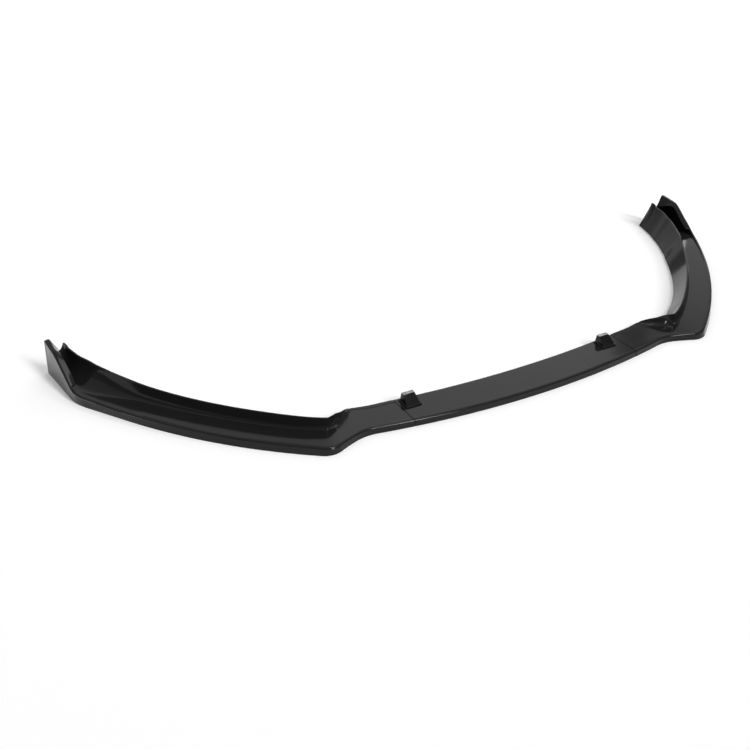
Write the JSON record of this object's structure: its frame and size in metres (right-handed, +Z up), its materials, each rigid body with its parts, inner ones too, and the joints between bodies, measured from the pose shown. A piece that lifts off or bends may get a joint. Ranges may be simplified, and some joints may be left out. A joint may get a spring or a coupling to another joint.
{
  "type": "front splitter lip",
  "caption": "Gloss black moulded front splitter lip: a shallow curved blade whose wings sweep back with scooped risers and end in upright fins.",
  "frame": {"origin": "middle of the lip's bounding box, at the underside it stands on", "axes": "+X across the car to the right of the picture, +Y from the front edge to the rear, +Z up"},
  "size_m": [1.8024, 0.6142, 0.091],
  "materials": {
    "panel_gloss": "high gloss black",
    "wing_gloss": "high gloss black",
    "block_matte": "moulded matte black",
    "plate_matte": "moulded matte black",
    "screw_steel": "zinc plated"
  },
  "bodies": {
    "root": {"centre_panel": "panel_gloss", "left_wing": "wing_gloss", "right_wing": "wing_gloss", "left_block": "block_matte", "right_block": "block_matte", "left_joint_plate": "plate_matte", "right_joint_plate": "plate_matte", "left_joint_screws": "screw_steel", "right_joint_screws": "screw_steel", "left_block_screws": "screw_steel", "right_block_screws": "screw_steel"}
  },
  "joints": []
}
